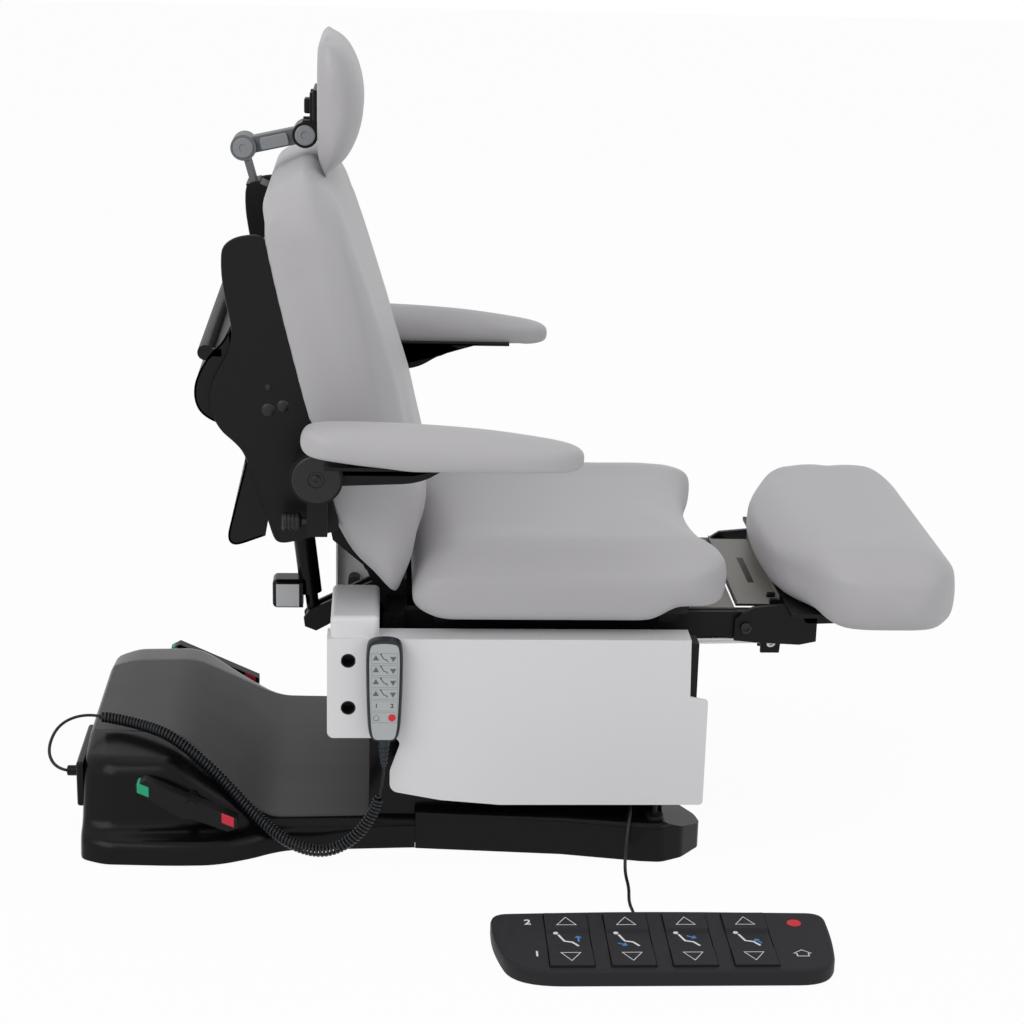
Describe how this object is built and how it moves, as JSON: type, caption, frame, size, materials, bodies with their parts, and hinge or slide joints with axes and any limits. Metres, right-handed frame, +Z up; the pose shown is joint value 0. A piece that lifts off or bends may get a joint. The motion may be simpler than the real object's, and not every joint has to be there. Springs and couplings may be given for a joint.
{
  "type": "examination chair",
  "caption": "Powered examination chair on a low floor base: telescopic lift, tilting seat, reclining back, drop leg section, swing arms, headrest, handset and foot control.",
  "frame": {"origin": "on the floor under the middle of the lift column, on the underside of the base plate", "axes": "+Z up, +X towards the foot end, +Y towards the patient's left; the chair is at its lowest with the back raised and the leg section level"},
  "size_m": [1.3725, 1.1, 1.207],
  "materials": {
    "upholstery": "soft matte vinyl",
    "white_paint": "satin powder coat",
    "black_gloss": "satin black",
    "charcoal": "fine grain",
    "black_paint": "satin powder coat",
    "steel": "brushed",
    "column": "anodised",
    "plywood": "unfinished",
    "rubber": "matte moulded",
    "grey_plastic": "matte",
    "tread": "matte",
    "cord": "satin",
    "apron": "satin"
  },
  "bodies": {
    "base": {"base_plate": "black_paint", "rear_housing": "black_gloss", "deck_panel": "charcoal", "leg_covers": "black_gloss", "lift_skirt": "charcoal", "lift_column_outer": "column", "control_box": "charcoal", "connector_panel": "charcoal", "foot_control_body": "rubber", "foot_cord": "cord", "handset_cord": "cord", "handset_plug": "grey_plastic"},
    "lift_stage": {"lift_column_middle": "column"},
    "carriage": {"lift_column_inner": "column", "carriage_frame": "black_paint", "shroud": "white_paint", "rear_cover": "white_paint", "handset": "grey_plastic"},
    "seat": {"seat_frame": "black_paint", "seat_board": "plywood", "seat_cushion": "upholstery", "leg_apron": "apron", "hinge_pins": "steel"},
    "back": {"side_plate_right": "black_paint", "side_plate_left": "black_paint", "back_frame": "black_paint", "back_rear_cover": "charcoal", "back_cushion": "upholstery", "roll_bar": "black_paint", "arm_mounts": "black_paint"},
    "arm_right": {"arm_bracket_right": "black_paint", "arm_pad_right": "upholstery"},
    "arm_left": {"arm_bracket_left": "black_paint", "arm_pad_left": "upholstery"},
    "lock_right": {"plunger_right": "steel"},
    "lock_left": {"plunger_left": "steel"},
    "legrest": {"leg_frame": "black_paint", "leg_cushion": "upholstery"},
    "head_stem": {"head_post": "black_paint"},
    "head_arm": {"head_link": "grey_plastic"},
    "head": {"head_mount": "grey_plastic", "head_cushion": "upholstery"},
    "pedals": {"pedal_bar": "black_paint"},
    "drop_frame": {"caster_frame": "black_paint"},
    "fork_right": {"caster_fork_right": "steel"},
    "fork_left": {"caster_fork_left": "steel"},
    "wheel_right": {"caster_wheel_right": "tread"},
    "wheel_left": {"caster_wheel_left": "tread"},
    "roller_right": {"front_roller_right": "tread"},
    "roller_left": {"front_roller_left": "tread"},
    "back_drive": {"back_actuator": "black_paint"},
    "back_drive_rod": {"back_actuator_rod": "steel"},
    "leg_drive": {"leg_actuator": "black_paint"},
    "leg_drive_rod": {"leg_actuator_rod": "steel"},
    "tilt_drive": {"tilt_actuator": "black_paint"},
    "tilt_drive_rod": {"tilt_actuator_rod": "steel"},
    "key_lift": {"foot_key_lift": "rubber"},
    "key_tilt": {"foot_key_tilt": "rubber"},
    "key_back": {"foot_key_back": "rubber"},
    "key_leg": {"foot_key_leg": "rubber"}
  },
  "joints": [
    {"name": "lift", "type": "slide", "parent": "base", "child": "carriage", "axis": [0, 0, 1], "range_m": [0, 0.4]},
    {"name": "lift_stage_slide", "type": "slide", "parent": "base", "child": "lift_stage", "axis": [0, 0, 1], "range_m": [0, 0.2]},
    {"name": "seat_tilt", "type": "hinge", "parent": "carriage", "child": "seat", "pos_m": [-0.18, 0, 0.345], "axis": [0, -1, 0], "range_deg": [0, 15]},
    {"name": "back_recline", "type": "hinge", "parent": "seat", "child": "back", "pos_m": [-0.212, 0, 0.418], "axis": [0, -1, 0], "range_deg": [0, 70]},
    {"name": "leg_lower", "type": "hinge", "parent": "seat", "child": "legrest", "pos_m": [0.353, 0, 0.34], "axis": [0, 1, 0], "range_deg": [0, 90]},
    {"name": "head_height", "type": "slide", "parent": "back", "child": "head_stem", "axis": [-0.2631, 0, 0.9648], "range_m": [0, 0.1]},
    {"name": "head_reach", "type": "hinge", "parent": "head_stem", "child": "head_arm", "pos_m": [-0.407, 0, 1.028], "axis": [0, -1, 0], "range_deg": [0, 60]},
    {"name": "head_nod", "type": "hinge", "parent": "head_arm", "child": "head", "pos_m": [-0.316, 0, 1.048], "axis": [0, -1, 0], "range_deg": [0, 45]},
    {"name": "pedal_rock", "type": "hinge", "parent": "base", "child": "pedals", "pos_m": [-0.478, 0, 0.092], "axis": [0, -1, 0], "range_deg": [0, 40]},
    {"name": "caster_drop", "type": "slide", "parent": "base", "child": "drop_frame", "axis": [0, 0, -1], "range_m": [0, 0.012]},
    {"name": "arm_swing_right", "type": "hinge", "parent": "back", "child": "arm_right", "pos_m": [-0.29, -0.334, 0.617], "axis": [0, -1, 0], "range_deg": [-60, 90]},
    {"name": "arm_lock_pull_right", "type": "slide", "parent": "back", "child": "lock_right", "axis": [-1, 0, 0], "range_m": [0, 0.008], "stiffness_N_per_m": 600},
    {"name": "caster_swivel_right", "type": "hinge", "parent": "drop_frame", "child": "fork_right", "pos_m": [-0.562, -0.213, 0.064], "axis": [0, 0, 1], "continuous": true},
    {"name": "caster_roll_right", "type": "hinge", "parent": "fork_right", "child": "wheel_right", "pos_m": [-0.578, -0.213, 0.0265], "axis": [0, 1, 0], "continuous": true},
    {"name": "roller_roll_right", "type": "hinge", "parent": "drop_frame", "child": "roller_right", "pos_m": [0.184, -0.232, 0.0195], "axis": [0, 1, 0], "continuous": true},
    {"name": "arm_swing_left", "type": "hinge", "parent": "back", "child": "arm_left", "pos_m": [-0.29, 0.334, 0.617], "axis": [0, -1, 0], "range_deg": [-60, 90]},
    {"name": "arm_lock_pull_left", "type": "slide", "parent": "back", "child": "lock_left", "axis": [-1, 0, 0], "range_m": [0, 0.008], "stiffness_N_per_m": 600},
    {"name": "caster_swivel_left", "type": "hinge", "parent": "drop_frame", "child": "fork_left", "pos_m": [-0.562, 0.213, 0.064], "axis": [0, 0, 1], "continuous": true},
    {"name": "caster_roll_left", "type": "hinge", "parent": "fork_left", "child": "wheel_left", "pos_m": [-0.578, 0.213, 0.0265], "axis": [0, 1, 0], "continuous": true},
    {"name": "roller_roll_left", "type": "hinge", "parent": "drop_frame", "child": "roller_left", "pos_m": [0.184, 0.232, 0.0195], "axis": [0, 1, 0], "continuous": true},
    {"name": "back_drive_swing", "type": "hinge", "parent": "seat", "child": "back_drive", "pos_m": [-0.305, 0, 0.285], "axis": [0, -1, 0], "range_deg": [0, 62.84]},
    {"name": "back_drive_stroke", "type": "slide", "parent": "back_drive", "child": "back_drive_rod", "axis": [-0.1157, 0, 0.9933], "range_m": [-0.17872, 0]},
    {"name": "leg_drive_swing", "type": "hinge", "parent": "seat", "child": "leg_drive", "pos_m": [0.04, -0.14, 0.298], "axis": [0, -1, 0], "range_deg": [-1.74, 0]},
    {"name": "leg_drive_stroke", "type": "slide", "parent": "leg_drive", "child": "leg_drive_rod", "axis": [0.9998, 0, 0.0195], "range_m": [-0.08021, 0]},
    {"name": "tilt_drive_swing", "type": "hinge", "parent": "carriage", "child": "tilt_drive", "pos_m": [0.15, 0.13, 0.105], "axis": [0, -1, 0], "range_deg": [0, 1.93]},
    {"name": "tilt_drive_stroke", "type": "slide", "parent": "tilt_drive", "child": "tilt_drive_rod", "axis": [0.102, 0, 0.9948], "range_m": [0, 0.09196]},
    {"name": "key_rock_lift", "type": "hinge", "parent": "base", "child": "key_lift", "pos_m": [0.064, -0.58, 0.0205], "axis": [1, 0, 0], "range_deg": [-3, 3], "stiffness_Nm_per_rad": 4},
    {"name": "key_rock_tilt", "type": "hinge", "parent": "base", "child": "key_tilt", "pos_m": [0.148, -0.58, 0.0205], "axis": [1, 0, 0], "range_deg": [-3, 3], "stiffness_Nm_per_rad": 4},
    {"name": "key_rock_back", "type": "hinge", "parent": "base", "child": "key_back", "pos_m": [0.232, -0.58, 0.0205], "axis": [1, 0, 0], "range_deg": [-3, 3], "stiffness_Nm_per_rad": 4},
    {"name": "key_rock_leg", "type": "hinge", "parent": "base", "child": "key_leg", "pos_m": [0.316, -0.58, 0.0205], "axis": [1, 0, 0], "range_deg": [-3, 3], "stiffness_Nm_per_rad": 4}
  ],
  "couplings": [
    {"joint": "lift_stage_slide", "follows": "lift", "ratio": 0.5},
    {"joint": "caster_drop", "follows": "pedal_rock", "m_per_rad": 0.01718},
    {"joint": "back_drive_swing", "follows": "back_recline", "ratio": 0.89595},
    {"joint": "back_drive_stroke", "follows": "back_recline", "m_per_rad": -0.14599},
    {"joint": "leg_drive_swing", "follows": "leg_lower", "ratio": -0.019316},
    {"joint": "leg_drive_stroke", "follows": "leg_lower", "m_per_rad": -0.050963},
    {"joint": "tilt_drive_swing", "follows": "seat_tilt", "ratio": 0.12845},
    {"joint": "tilt_drive_stroke", "follows": "seat_tilt", "m_per_rad": 0.35055}
  ]
}
